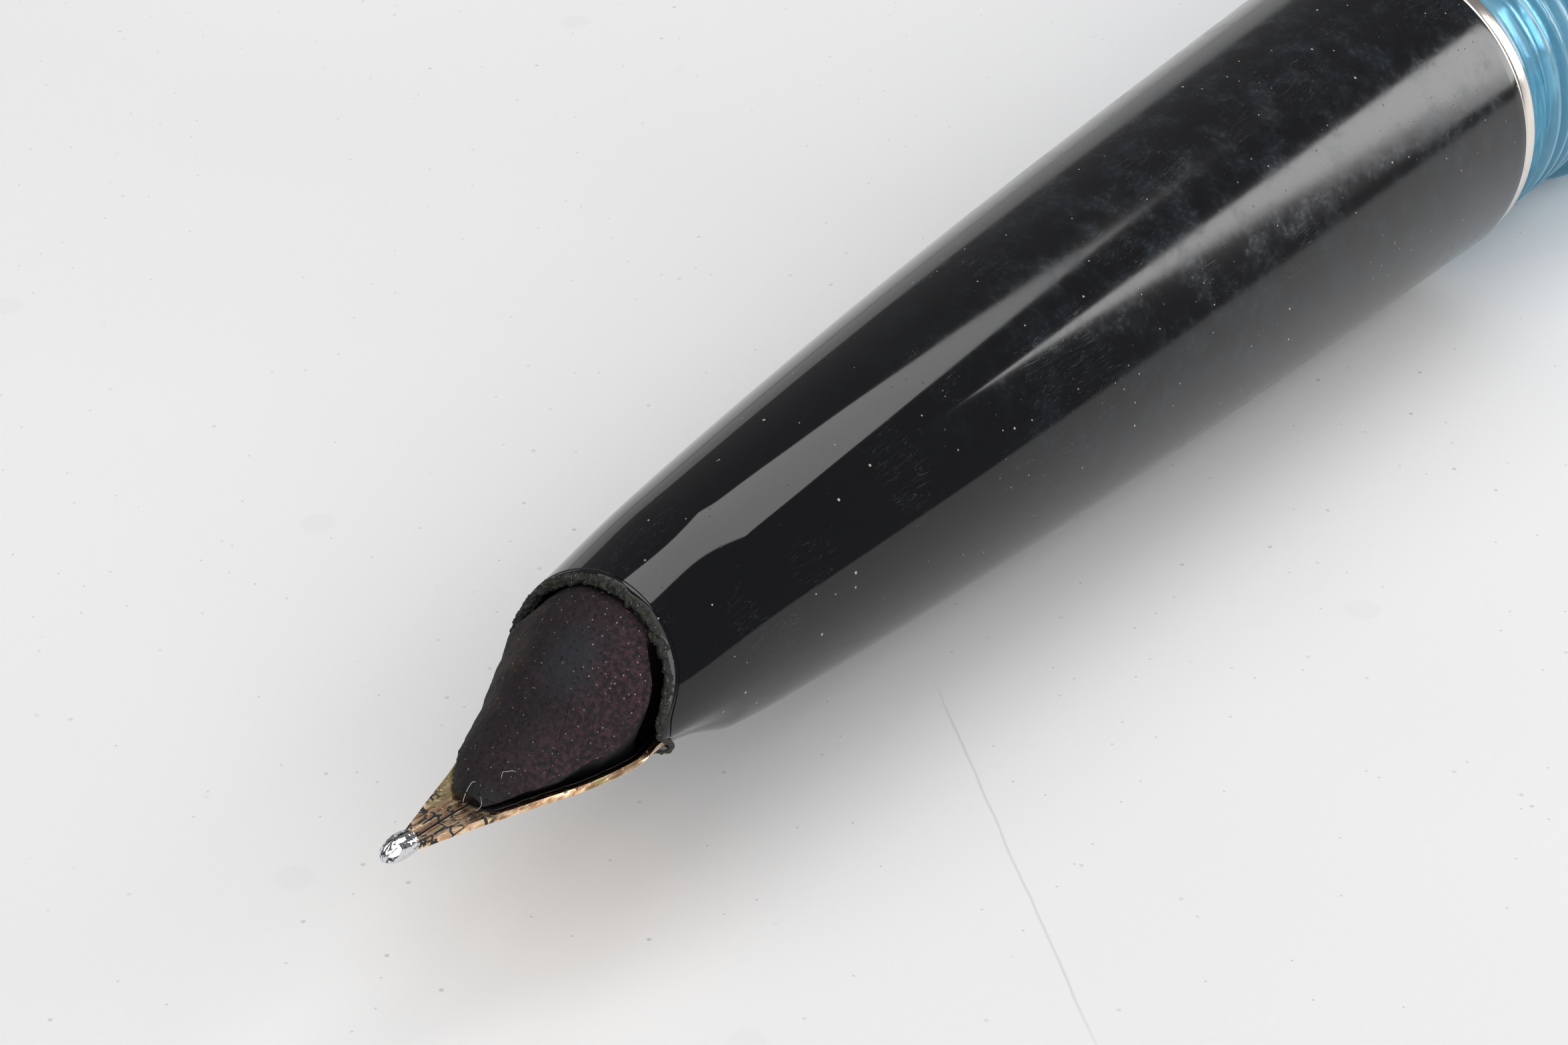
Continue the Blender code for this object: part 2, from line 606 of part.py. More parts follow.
def make_spindle(carrier):
    """The twisted spindle, with the flange that holds it in and the shaft that the knob drives."""
    steps = round((SPINDLE_SCREW_END - SPINDLE_FRONT) / TWIST_STEP)
    size = (SPINDLE_HALF_WIDTH, SPINDLE_HALF_THICKNESS)
    screw = twisted_bar(SPINDLE_FRONT, SPINDLE_SCREW_END, *size, steps)
    spindle = place("spindle", screw, carrier, BRASS)
    flange = [(FLANGE_FRONT, 0.0), (FLANGE_FRONT, FLANGE_RADIUS), (FLANGE_REAR, FLANGE_RADIUS)]
    flange += [(FLANGE_REAR, SHAFT_RADIUS), (SHAFT_END, SHAFT_RADIUS), (SHAFT_END, 0.0)]
    shaft = place("spindle_shaft", spun(flange), carrier, BRASS)
    shaft.hide_render = True
    shaft.display_type = "WIRE"
    union = spindle.modifiers.new("spindle_shaft", "BOOLEAN")
    union.operation = "UNION"
    union.solver = "EXACT"
    union.object = shaft


def make_knob(carrier):
    """The turning knob, its metal ring and the finial set in its end."""
    neck = [(KNOB_START, KNOB_NECK), (KNOB_NECK_END, KNOB_NECK)]
    socket_end = SHAFT_END + 0.3
    socket = [(KNOB_END, 0.0), (socket_end, 0.0), (socket_end, KNOB_BORE), (KNOB_START, KNOB_BORE)]
    place("turning_knob", spun(neck + KNOB_PROFILE + socket), carrier, BLACK_PLASTIC)
    band = ring_band(KNOB_START, KNOB_RING_END, KNOB_RING_RADIUS, KNOB_RING_BORE)
    place("knob_ring", spun(band), carrier, SILVER)
    finial = [(FINIAL_START, 0.0)] + FINIAL_PROFILE + [(PEN_END, 0.0)]
    place("knob_finial", spun(finial), carrier, BLUE_PLASTIC)


def main():
    clear_scene()
    pen = empty("pen_axis")
    pen.location = (AXIS_X * MM, 0, AXIS_HEIGHT * MM)
    piston = empty("piston_carrier", pen, HEAD_FRONT)
    knob = empty("knob_carrier", pen, KNOB_START)
    make_section_shell(pen)
    make_nib(pen)
    make_tipping("tipping_left", 1, pen)
    make_tipping("tipping_right", -1, pen)
    make_feed(pen)
    make_front_internals(pen)
    make_barrel(pen)
    make_guide(pen)
    make_piston(piston)
    make_spindle(knob)
    make_knob(knob)


main()
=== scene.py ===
"""Looks of a piston-filled fountain pen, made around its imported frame.

Lengths are millimetres from the trim ring's front face along the pen's axis, x towards the knob,
y across and z up on the feed side. in_row() turns them into the frame's metres.
"""

import itertools
import math

import bmesh
import bpy
import numpy as np
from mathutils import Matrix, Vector


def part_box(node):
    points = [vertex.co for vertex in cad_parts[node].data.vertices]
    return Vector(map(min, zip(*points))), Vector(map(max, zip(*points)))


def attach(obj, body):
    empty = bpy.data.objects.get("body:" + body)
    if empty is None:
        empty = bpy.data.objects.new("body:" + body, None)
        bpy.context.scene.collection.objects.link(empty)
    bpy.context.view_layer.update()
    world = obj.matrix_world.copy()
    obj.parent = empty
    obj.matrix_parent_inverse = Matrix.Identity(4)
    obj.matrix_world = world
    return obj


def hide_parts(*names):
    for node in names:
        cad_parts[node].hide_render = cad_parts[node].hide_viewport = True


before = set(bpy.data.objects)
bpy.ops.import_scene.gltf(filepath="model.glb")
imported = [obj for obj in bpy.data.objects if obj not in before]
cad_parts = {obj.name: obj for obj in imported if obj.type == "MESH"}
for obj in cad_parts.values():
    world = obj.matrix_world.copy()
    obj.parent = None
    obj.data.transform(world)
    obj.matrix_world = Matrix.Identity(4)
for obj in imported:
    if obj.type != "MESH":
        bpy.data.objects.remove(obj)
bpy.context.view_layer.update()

MM = 0.001
FULL_TURN = 2 * math.pi
RING_LOW, RING_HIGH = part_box("trim_ring")
RING_START = 0.05
ORIGIN = np.array([RING_LOW.x - RING_START * MM, 0.0, (RING_LOW.z + RING_HIGH.z) / 2])
AROUND = 192
SHARP = math.radians(32)

SECTION_MOUTH = -43.68
SECTION_REAR_RADIUS = 5.8
SECTION_TAPER = 0.0385
OGIVE_LENGTH = 40
OGIVE_DROP = 0.83
OGIVE_POWER = 3.34
LIP_LENGTH = 0.22
LIP_DROP = 0.13
MOUTH_SLANT = 0.288
MOUTH_BORE = 2.7
MOUTH_BELL = 0.4
BELL_HEIGHT = 0.1
BELL_SPREAD = 0.75
UNDERCUT_START = -0.5
UNDERCUT_SLOPE = 1.0
UNDERSIDE_NARROWING = 0.12
SOCKET_BORE = 4.3
SOCKET_END = -14.0
CHAMBER_BORE = 3.3
CHAMBER_END = -36.2

NIB_TIP = -51.2
NIB_TAIL = -34.0
NIB_WALL = 0.18
TROUGH_TIP_DEPTH = 0.08
TROUGH_GAIN = 1.4
TROUGH_POWER = 2.6
NIB_OUTLINE = [
    (-51.2, 0.35), (-50.3, 0.62), (-49.5, 0.88), (-48.0, 1.37), (-47.35, 1.62), (-46.6, 1.95),
    (-46.0, 2.15), (-45.2, 2.37), (-44.5, 2.47), (-43.68, 2.3),
]
NIB_EDGE = [(-51.2, -0.89), (-49.5, -0.98), (-48.0, -1.08), (-46.5, -1.1), (-43.68, -1.06)]
HOLE_CENTRE = -46.3
HOLE_RADIUS = 0.33
SLIT = 0.018
PELLET_START = -51.17
PELLET_LENGTH = 1.15
PELLET_WIDEST = 0.4
PELLET_HALF_WIDTH = 0.36
PELLET_HALF_HEIGHT = 0.34
PELLET_CENTRE = -0.84

FEED_FRONT = -48.85
FEED_REAR = -37.0
FEED_REACH = 2.62
FEED_GAP = 0.04
FILM_GAP = 0.02
FILM_WALL = 0.015
CRUST_RADIUS = 2.82
FIBRE_RADIUS = 0.007
FEED_TOP = [(-48.85, -0.74), (-46.5, 0.62), (-44.6, 1.95), (-43.3, 2.6)]
LEAF_WIDTH = [
    (-48.85, 0.52), (-48.4, 0.92), (-47.7, 1.34), (-46.9, 1.68), (-46.2, 1.93), (-45.4, 2.22),
    (-44.6, 2.45), (-44.0, 2.45), (-43.3, 1.75),
]
LEAF_HEIGHT = [
    (-48.85, -0.94), (-48.4, -0.85), (-47.7, -0.68), (-46.9, -0.62), (-46.2, -0.49), (-45.4, -0.3),
    (-44.6, 0.16), (-44.0, 0.88), (-43.3, 1.9),
]

THREAD_PITCH = 0.9
NECK_ROOT = 5.2
NECK_CREST = 5.55
LAND_RADIUS = 5.62
SEAT = 8.4
BARREL_BORE = 4.45
CONNECTOR_ROOT = 4.05
CONNECTOR_CREST = 4.35
CONNECTOR_BORE = 2.2
GUIDE_HOLE_RADIUS = 2.52
GUIDE_FLAT = 2.12
GUIDE_WALL_END = 38.3
GUIDE_BORE = 3.2
KNOB_FRONT = 69.0
KNOB_RADIUS = 5.93
KNOB_ROUNDING = 1.2
FINIAL_FLAT = 2.2

FLOOR_HALF = 2.5
LENS = 91.84
CAMERA_PLACE = np.array([-113.016, -58.559, 63.337])
CAMERA_LOOK = np.array([67.429, 50.411, -53.964])


def in_row(points):
    """Millimetres in the pen's frame, as metres in the row's frame."""
    return np.asarray(points, float) * MM + ORIGIN


def span(node):
    """Where a frame node starts and ends along the axis, and its radius, in millimetres."""
    low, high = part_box(node)
    return (low.x - ORIGIN[0]) / MM, (high.x - ORIGIN[0]) / MM, (high.y - low.y) / 2 / MM


# Shapes


def weld(mesh, outwards=True):
    """Closes the seams and poles of a grid, and turns its faces outwards."""
    work = bmesh.new()
    work.from_mesh(mesh)
    bmesh.ops.remove_doubles(work, verts=work.verts, dist=1e-7)
    if outwards:
        bmesh.ops.recalc_face_normals(work, faces=work.faces)
    work.to_mesh(mesh)
    work.free()


def place_new(name, data):
    """A new object in the scene, at the origin, of a mesh, a lamp or a camera."""
    made = bpy.data.objects.new(name, data)
    bpy.context.scene.collection.objects.link(made)
    return made


def skin(name, grid, wrap_rows=False, wrap_columns=True):
    """A mesh over a grid of points, rows by columns, each cell of it one face."""
    rows, columns = grid.shape[:2]
    index = np.arange(rows * columns).reshape(rows, columns)
    index = np.vstack([index, index[:1]]) if wrap_rows else index
    index = np.hstack([index, index[:, :1]]) if wrap_columns else index
    faces = np.stack([index[:-1, :-1], index[:-1, 1:], index[1:, 1:], index[1:, :-1]], -1)
    mesh = bpy.data.meshes.new(name)
    mesh.from_pydata(in_row(grid.reshape(-1, 3)), [], faces.reshape(-1, 4).tolist())
    weld(mesh)
    mesh.shade_smooth()
    mesh.set_sharp_from_angle(angle=SHARP)
    return place_new(name, mesh)


def whole_turn(count):
    """Equal steps of angle round a circle, its start not repeated."""
    return np.arange(count) * FULL_TURN / count


def circles(x, r, t):
    """Points carried round the axis: (x, r sin t, -r cos t)."""
    return np.stack([x + 0 * t, r * np.sin(t), -r * np.cos(t)], -1)


def turned(name, outline, around=AROUND, solid=False):
    """An outline of (x, r) points carried round the axis as circles. It closes on itself, or starts and
    ends on the axis when the piece is solid."""
    x, r = np.asarray(outline, float).T[:, :, None]
    return skin(name, circles(x, r, whole_turn(around)), wrap_rows=not solid)


def eased(corners, steps=4):
    """A closed outline with corners (x, r, ease), each rounded by a parabola between its two sides."""
    corners = np.asarray(corners, float)
    points, ease = corners[:, None, :2], corners[:, None, 2:]
    away = [np.roll(points, turn, 0) - points for turn in (1, -1)]
    lengths = [np.maximum(np.linalg.norm(side, axis=-1, keepdims=True), 1e-9) for side in away]
    start, end = [points + ease * side / length for side, length in zip(away, lengths)]
    t = np.linspace(0, 1, steps + 1)[None, :, None]
    return ((1 - t) ** 2 * start + 2 * t * (1 - t) * points + t * t * end).reshape(-1, 2)


def smooth(low, high, value):
    """0 before low, 1 past high, and the cubic 3t^2 - 2t^3 between them; low may be the larger."""
    t = np.clip((value - low) / (high - low), 0, 1)
    return t * t * (3 - 2 * t)


def grain(points, size, seed):
    """Value noise from -0.5 to 0.5: random numbers on a lattice, blended by cubics between its corners."""
    table = np.random.default_rng(seed).random((32, 32, 32)) - 0.5
    cell = np.asarray(points, float) / size
    base = np.floor(cell).astype(int)
    share = smooth(0, 1, cell - base)
    total = 0
    for corner in itertools.product((0, 1), repeat=3):
        weight = np.prod(np.where(corner, share, 1 - share), axis=-1)
        total = total + weight * table[tuple(((base + corner) % 32)[..., k] for k in range(3))]
    return total


def finish_piece(piece, material, slot, body, *nodes):
    """Gives a piece its material, the body it rides and the frame nodes it stands for. Its slot is not used.
    """
    piece.data.materials.clear()
    piece.data.materials.append(material)
    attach(piece, body)
    if nodes:
        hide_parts(*nodes)
    return piece


# Shader maths


class Value:
    """A socket of a material's tree. Its operators add Math nodes."""

    def __init__(self, paint, socket):
        self.paint = paint
        self.socket = socket

    def math(self, operation, *inputs):
        return self.paint.node("ShaderNodeMath", {"operation": operation}, dict(enumerate(inputs)))

    def __add__(self, other):
        return self.math("ADD", self, other)

    def __sub__(self, other):
        return self.math("SUBTRACT", self, other)

    def __rsub__(self, other):
        return self.math("SUBTRACT", other, self)

    def __mul__(self, other):
        return self.math("MULTIPLY", self, other)

    def __abs__(self):
        return self.math("ABSOLUTE", self)

    __radd__ = __add__
    __rmul__ = __mul__

    def above(self, low, high):
        """0 below low, 1 above high, smooth between; with low over high, the other way round."""
        limits = {"Value": self, "From Min": low, "From Max": high}
        return self.paint.node("ShaderNodeMapRange", {"interpolation_type": "SMOOTHSTEP"}, limits)

    def largest(self, other):
        return self.math("MAXIMUM", self, other)


class Paint:
    """A Principled material, with patterns in millimetres of the pen's frame."""

    def __init__(self, name, **even):
        self.material = bpy.data.materials.new(name)
        self.material.use_nodes = True
        self.tree = self.material.node_tree
        self.shader = self.tree.nodes["Principled BSDF"]
        for socket, value in even.items():
            self.set(**{socket: value})
        place = self.node("ShaderNodeTexCoord", {}, {}, "Object")
        shift = {"Vector": place, "Location": tuple(-ORIGIN / MM), "Scale": (1 / MM,) * 3}
        self.place = self.node("ShaderNodeMapping", {}, shift)
        self.x, self.y, self.z = (self.node("ShaderNodeSeparateXYZ", {}, {0: self.place}, k) for k in "XYZ")

    def feed(self, socket, value):
        if isinstance(value, Value):
            self.tree.links.new(value.socket, socket)
        elif socket.type == "RGBA":
            socket.default_value = (*value, 1.0)
        else:
            socket.default_value = value

    def node(self, kind, settings, inputs, output=0):
        """Adds a node: its type, its settings, then the values or links of its sockets."""
        made = self.tree.nodes.new(kind)
        for name, value in settings.items():
            setattr(made, name, value)
        for socket, value in inputs.items():
            self.feed(made.inputs[socket], value)
        return Value(self, made.outputs[output])

    def set(self, **sockets):
        """Sets or links the shader's sockets, named with underscores for spaces."""
        for name, value in sockets.items():
            self.feed(self.shader.inputs[name.replace("_", " ")], value)

    def stretched(self, *scale):
        """The place, with each of its axes multiplied."""
        return self.node("ShaderNodeMapping", {}, {"Vector": self.place, "Scale": scale})

    def noise(self, scale, detail=3.0, place=None, distortion=0.0, roughness=0.5):
        inputs = {"Vector": place or self.place, "Scale": scale, "Detail": detail}
        inputs.update({"Distortion": distortion, "Roughness": roughness})
        return self.node("ShaderNodeTexNoise", {}, inputs)

    def cells(self, scale, place=None, feature="F1"):
        """Distance to the nearest of scattered points, or to the edge between two of their cells."""
        inputs = {"Vector": place or self.place, "Scale": scale}
        return self.node("ShaderNodeTexVoronoi", {"feature": feature}, inputs, "Distance")

    def specks(self, scale, size, share, flat="3D"):
        """1 on dots of a size, on about a share of the cells; "2D" scatters them over a level surface."""
        inputs = {"Vector": self.place, "Scale": scale}
        scatter = ("ShaderNodeTexVoronoi", {"voronoi_dimensions": flat}, inputs)
        near = self.node(*scatter, "Distance").above(size * scale, size * scale * 0.6)
        chance = self.node(*scatter, "Color")
        red = self.node("ShaderNodeSeparateColor", {}, {0: chance})
        return near * red.above(1 - share, 1 - share + 0.01)

    def mix(self, mask, first, second):
        """The first colour where the mask is 0, the second where it is 1."""
        return self.node("ShaderNodeMix", {"data_type": "RGBA"}, {0: mask, 6: first, 7: second}, 2)

    def bump(self, height, distance):
        """A Bump node's normal, for a height whose full range is a distance in millimetres."""
        inputs = {"Height": height, "Distance": distance * MM, "Strength": 1.0}
        return self.node("ShaderNodeBump", {}, inputs)


def black_plastic():
    """Glossy black: bloomed bluish in blotches towards the ring, with hair scratches and pale dust."""
    paint = Paint("black_section_plastic", IOR=1.5)
    rear = paint.x.above(-36.0, -16.0)
    haze = paint.noise(0.9, 5.0, roughness=0.65).above(0.42, 0.68) * rear
    fine = paint.noise(5.0, 4.0, roughness=0.65).above(0.45, 0.68)
    bloom = haze * (0.35 + fine * 0.65)
    hair = paint.noise(0.9, 4.0, paint.stretched(0.5, 4.0, 4.0), 1.5)
    hair = abs(hair - 0.5).above(0.006, 0.0) * paint.noise(0.35, 1.0).above(0.5, 0.6)
    dust = paint.specks(1.3, 0.055, 0.28).largest(paint.specks(2.6, 0.033, 0.3))
    pits = paint.specks(3.5, 0.035, 0.2)
    colour = paint.mix(bloom * 0.8, (0.002, 0.0022, 0.003), (0.017, 0.024, 0.032))
    colour = paint.mix(hair * 0.22, colour, (0.16, 0.17, 0.2))
    colour = paint.mix(dust * 0.8, colour, (0.5, 0.48, 0.42))
    rough = 0.04 + rear * 0.09 + bloom * 0.13 + dust * 0.5 + hair * 0.15 + pits * 0.2
    wave = paint.noise(0.16, 1.0) * 0.5 + paint.noise(2.4, 3.0) * rear * 0.03 - pits * 0.04
    paint.set(Base_Color=colour, Roughness=rough, Normal=paint.bump(wave + dust * 0.5, 0.03))
    return paint.material


def feed_stain_and_shade():
    """Dull plastic dyed purple-brown by ink: mottled red, olive and slate, peppered dark, pink and pale,
    with painted shade on its downward-facing sides and along a crease.
    """
    paint = Paint("feed_ink_stain_and_painted_shade", Specular_IOR_Level=0.3)
    blotch = paint.noise(0.55, 4.0)
    fine = paint.noise(7.0, 4.0, roughness=0.7)
    base = paint.mix(blotch.above(0.38, 0.66), (0.015, 0.0085, 0.011), (0.028, 0.014, 0.019))
    base = paint.mix(fine.above(0.36, 0.64), (0.007, 0.0045, 0.006), base)
    olive = paint.noise(0.8, 2.0, paint.stretched(1.0, 1.3, 0.9)).above(0.48, 0.68)
    olive = olive * paint.y.above(0.0, 1.4)
    base = paint.mix(olive * 0.45, base, (0.036, 0.028, 0.014))
    slate = abs(paint.y + 0.45).above(1.1, 0.2) * abs(paint.x + 44.9).above(1.2, 0.2)
    base = paint.mix(slate * 0.6, base, (0.018, 0.022, 0.028))
    red = paint.y.above(-0.5, -1.7) * fine.above(0.45, 0.62)
    base = paint.mix(red * 0.45, base, (0.075, 0.028, 0.04))
    pepper = paint.specks(6.0, 0.06, 0.5)
    pink = paint.specks(6.5, 0.035, 0.4) * paint.x.above(-46.6, -43.6) * paint.y.above(0.6, -0.8)
    pale = paint.specks(3.4, 0.03, 0.35).largest(paint.specks(6.5, 0.02, 0.5))
    base = paint.mix(pepper * 0.6, base, (0.004, 0.003, 0.005))
    base = paint.mix(pink * 0.6, base, (0.26, 0.13, 0.15))
    base = paint.mix(pale * 0.7, base, (0.34, 0.34, 0.36))
    # Painted shade: a dark line along the crease between the leaf's top and its side, which the bump also
    # sinks as a shallow groove.
    crease_groove_and_shade = abs(paint.y + 1.02 - (paint.x + 46.2) * 0.27 + paint.noise(1.2, 2.0) * 0.3)
    crease_groove_and_shade = crease_groove_and_shade.above(0.035, 0.0) * paint.x.above(-48.3, -47.6) * paint.x.above(-45.0, -45.8)
    base = paint.mix(crease_groove_and_shade * 0.35, base, (0.006, 0.004, 0.006))
    tip = paint.x.above(-48.25, -48.75)
    # Painted shade: faces turned downwards are painted near black, and together with the real ink on the
    # feed's tip they make one dark mask.
    facing = paint.node("ShaderNodeNewGeometry", {}, {}, "Normal")
    under = paint.node("ShaderNodeSeparateXYZ", {}, {0: facing}, "Z").above(0.05, -0.12)
    ink = under.largest(tip * 0.9)
    base = paint.mix(ink, base, (0.0035, 0.003, 0.0035))
    height = fine + paint.noise(2.0, 3.0) * 0.6 - pepper * 0.3 - crease_groove_and_shade * 0.4
    rough = 0.66 - tip * 0.3 + blotch * 0.1
    paint.set(Base_Color=base, Roughness=rough, Normal=paint.bump(height, 0.06))
    return paint.material


def inked_gold():
    """Polished gold with lengthwise grinding lines, crossed by cracks and pools of dried ink."""
    paint = Paint("inked_gold")
    along = paint.noise(1.0, 3.0, paint.stretched(0.45, 9.0, 9.0))
    tone = paint.mix(along.above(0.36, 0.64), (0.6, 0.34, 0.19), (1.0, 0.74, 0.48))
    green = paint.noise(1.6, 2.0).above(0.55, 0.72)
    green = green.largest(paint.y.above(0.3, 0.9) * paint.x.above(-49.6, -48.4))
    tone = paint.mix(green * 0.6, tone, (0.66, 0.6, 0.26))
    front = paint.x.above(-48.2, -49.3)
    above = paint.z.above(-1.28, -1.2)
    warped = paint.stretched(1.0, 1.9, 1.9)
    crack = paint.cells(1.7, warped, "DISTANCE_TO_EDGE").above(0.085, 0.035)
    crack = crack * paint.noise(1.3, 2.0).above(0.4, 0.5)
    blot = paint.noise(2.3, 3.0, warped, 0.8).above(0.58, 0.62)
    slit = abs(paint.y).above(0.07, 0.03) * paint.x.above(-46.0, -46.4)
    crust = paint.x.above(-50.3, -51.0) * paint.noise(7.0, 3.0).above(0.5, 0.56)
    crust = crust * paint.z.above(-1.16, -1.05)
    flank = abs(paint.y).above(0.3, 0.05)
    ink = (crack + blot + crust).above(0.4, 0.7) * front * above
    ink = ink.largest(slit * above).largest(front * flank * crack)
    edge = paint.noise(5.0, 3.0).above(0.6, 0.66) * paint.x.above(-50.2, -49.0) * above * 0.8
    ink = ink.largest(edge)
    colour = paint.mix(ink, tone, (0.006, 0.006, 0.007))
    rough = 0.16 + along * 0.2 + ink * 0.2
    height = along * 0.5 + ink * 0.6
    paint.set(Base_Color=colour, Roughness=rough, Metallic=1 - ink, Normal=paint.bump(height, 0.03))
    return paint.material


def bright_tipping():
    """Hard bright metal, with ink specks and a faceted, hand-ground surface."""
    paint = Paint("tipping_metal")
    speck = paint.noise(6.5, 3.0, paint.stretched(0.5, 1.4, 1.4), 0.6).above(0.57, 0.6)
    facet = paint.cells(2.6)
    colour = paint.mix(speck, (0.74, 0.75, 0.77), (0.012, 0.014, 0.017))
    paint.set(Base_Color=colour, Metallic=1 - speck * 0.8, Roughness=0.05 + speck * 0.4)
    paint.set(Normal=paint.bump(facet * 0.6 + paint.noise(4.0, 2.0) * 0.4, 0.09))
    return paint.material


def ink_crust():
    """Dried ink: black with green-brown crumbs and a few pale grains."""
    paint = Paint("dried_ink_crust")
    crumb = paint.noise(5.0, 4.0)
    colour = paint.mix(crumb.above(0.46, 0.66), (0.004, 0.005, 0.004), (0.02, 0.023, 0.012))
    colour = paint.mix(paint.noise(16.0, 2.0).above(0.64, 0.7) * 0.7, colour, (0.26, 0.25, 0.19))
    paint.set(Base_Color=colour, Roughness=0.55 + crumb * 0.3)
    paint.set(Normal=paint.bump(paint.noise(9.0, 4.0), 0.08))
    return paint.material


def ink_and_shade_film():
    """A dark film with an uneven gloss, standing for dried ink and for painted shade in the nib's trough."""
    paint = Paint("ink_and_painted_shade_film")
    patch = paint.noise(2.0, 3.0)
    colour = paint.mix(patch.above(0.5, 0.75), (0.004, 0.0035, 0.0045), (0.016, 0.009, 0.008))
    paint.set(Base_Color=colour, Roughness=0.25 + patch * 0.35)
    paint.set(Normal=paint.bump(paint.noise(6.0, 3.0), 0.03))
    return paint.material


def turned_metal(name, colour, roughness):
    """Polished metal with faint lathe lines round it and a little tarnish."""
    paint = Paint(name, Metallic=1.0)
    lines = paint.noise(1.0, 2.0, paint.stretched(14.0, 0.3, 0.3))
    tarnish = paint.noise(0.9, 4.0).above(0.5, 0.75)
    shade = tuple(c * 0.72 for c in colour)
    paint.set(Base_Color=paint.mix(tarnish * 0.6, colour, shade))
    paint.set(Roughness=roughness + lines * 0.1 + tarnish * 0.08)
    paint.set(Normal=paint.bump(lines, 0.004))
    return paint.material


def clear_plastic(name, colour, depth, milk=0.0, roughness=0.05):
    """Clear plastic, tinted, with faint ripples, light wear, and deeper rings round the barrel's neck."""
    paint = Paint(name, IOR=1.45, Transmission_Weight=1.0 - milk)
    wear = paint.noise(1.3, 4.0, paint.stretched(0.4, 1.5, 1.5)).above(0.5, 0.76)
    rings = paint.noise(1.0, 2.0, paint.stretched(1.6, 0.06, 0.06)).above(0.42, 0.62)
    rings = rings * (0.12 + paint.x.above(12.0, 7.5) * 0.88)
    patch = paint.noise(0.45, 3.0).above(0.4, 0.65)
    tint = paint.mix(rings * 0.7, colour, depth)
    paint.set(Base_Color=paint.mix(patch * 0.35, tint, depth))
    paint.set(Roughness=roughness + wear * 0.14)
    paint.set(Normal=paint.bump(paint.noise(0.5, 2.0), 0.02))
    return paint.material


def moulded(name, colour, roughness, relief=0.02):
    """Moulded plastic or rubber with a fine grain and a slight change of shade."""
    paint = Paint(name)
    cloud = paint.noise(0.5, 3.0)
    lighter = tuple(min(1.0, c * 1.35 + 0.004) for c in colour)
    paint.set(Base_Color=paint.mix(cloud.above(0.35, 0.7), colour, lighter))
    paint.set(Roughness=roughness + cloud * 0.12)
    paint.set(Normal=paint.bump(paint.noise(11.0, 3.0), relief))
    return paint.material


def pale_floor():
    """A plain off-white board, faintly cloudy, with sparse fine specks, soft spots and a hair scratch."""
    paint = Paint("pale_board")
    cloud = paint.noise(0.02, 3.0)
    colour = paint.mix(cloud.above(0.3, 0.7), (0.80, 0.797, 0.797), (0.835, 0.832, 0.832))
    dots = paint.specks(0.4, 0.085, 0.3, "2D") * paint.noise(0.05, 2.0).above(0.38, 0.6)
    dots = dots.largest(paint.specks(0.9, 0.045, 0.12, "2D"))
    spots = paint.specks(0.07, 0.7, 0.5, "2D")
    line = abs(paint.y - 1.164 * paint.x - 32.8 - paint.noise(0.4, 2.0) * 0.3)
    scratch = line.above(0.1, 0.02) * paint.x.above(-30.0, -32.5) * paint.x.above(-44.0, -40.0)
    colour = paint.mix(dots * 0.5, colour, (0.36, 0.33, 0.32))
    colour = paint.mix(spots * 0.05, colour, (0.3, 0.28, 0.28))
    colour = paint.mix(scratch * 0.3, colour, (0.4, 0.36, 0.34))
    paint.set(Base_Color=colour, Roughness=0.55 + cloud * 0.1)
    paint.set(Normal=paint.bump(paint.noise(3.0, 3.0), 0.01))
    return paint.material


# Front of the pen


def section_radius(x):
    """The ogive: the ring's radius, less a straight taper, less a power that steepens to the mouth."""
    back = np.abs(x)
    return SECTION_REAR_RADIUS - SECTION_TAPER * back - OGIVE_DROP * (back / OGIVE_LENGTH) ** OGIVE_POWER


def mouth_shift(y, z):
    """How far the mouth's rim lies from its nominal length: a shear with height, a cut back below the
    nib's edges, and on the side y < 0 a Gaussian bell forward at mid height."""
    bell = MOUTH_BELL * np.exp(-(((z - BELL_HEIGHT) / BELL_SPREAD) ** 2)) * smooth(0.6, -0.6, y)
    return MOUTH_SLANT * z + UNDERCUT_SLOPE * np.maximum(UNDERCUT_START - z, 0) - bell


def make_section(material):
    """The ogive outside and a stepped bore, turned. Near the mouth x follows the rim, and the underside
    narrows."""
    front = np.linspace(SECTION_MOUTH + LIP_LENGTH, -38, 40)
    x = np.concatenate([front, np.linspace(-37.6, -0.12, 120)])
    outer = np.stack([x, section_radius(x)], -1)
    lip = section_radius(SECTION_MOUTH)
    t = np.linspace(0, math.pi / 2, 7)[:-1]
    round_x = SECTION_MOUTH + LIP_LENGTH * (1 - np.sin(t))
    round_lip = np.stack([round_x, lip - LIP_DROP * (1 - np.cos(t))], -1)[::-1]
    back = [(-0.04, 5.79), (0.0, 5.72), (0.0, SOCKET_BORE), (SOCKET_END, SOCKET_BORE)]
    back += [(SOCKET_END, CHAMBER_BORE), (CHAMBER_END, CHAMBER_BORE), (CHAMBER_END, 2.72)]
    bore = [(SECTION_MOUTH + 0.2, MOUTH_BORE), (SECTION_MOUTH + 0.03, MOUTH_BORE + 0.05)]
    outline = np.concatenate([round_lip, outer, back, bore])
    x, r = outline[:, :1], outline[:, 1:]
    t = whole_turn(256)
    z = -r * np.cos(t)
    shift = smooth(-38.6, SECTION_MOUTH + 0.2, x) * mouth_shift(r * np.sin(t), z)
    under = smooth(-40.6, SECTION_MOUTH, x) * smooth(-0.2, -1.6, z) * (r > 2.9)
    narrow = 1 - UNDERSIDE_NARROWING * under
    grid = np.stack([x + shift, narrow * r * np.sin(t), narrow * z], -1)
    piece = skin("section", grid, wrap_rows=True)
    return finish_piece(piece, material, "section_plastic", "barrel_body", "section_shell")


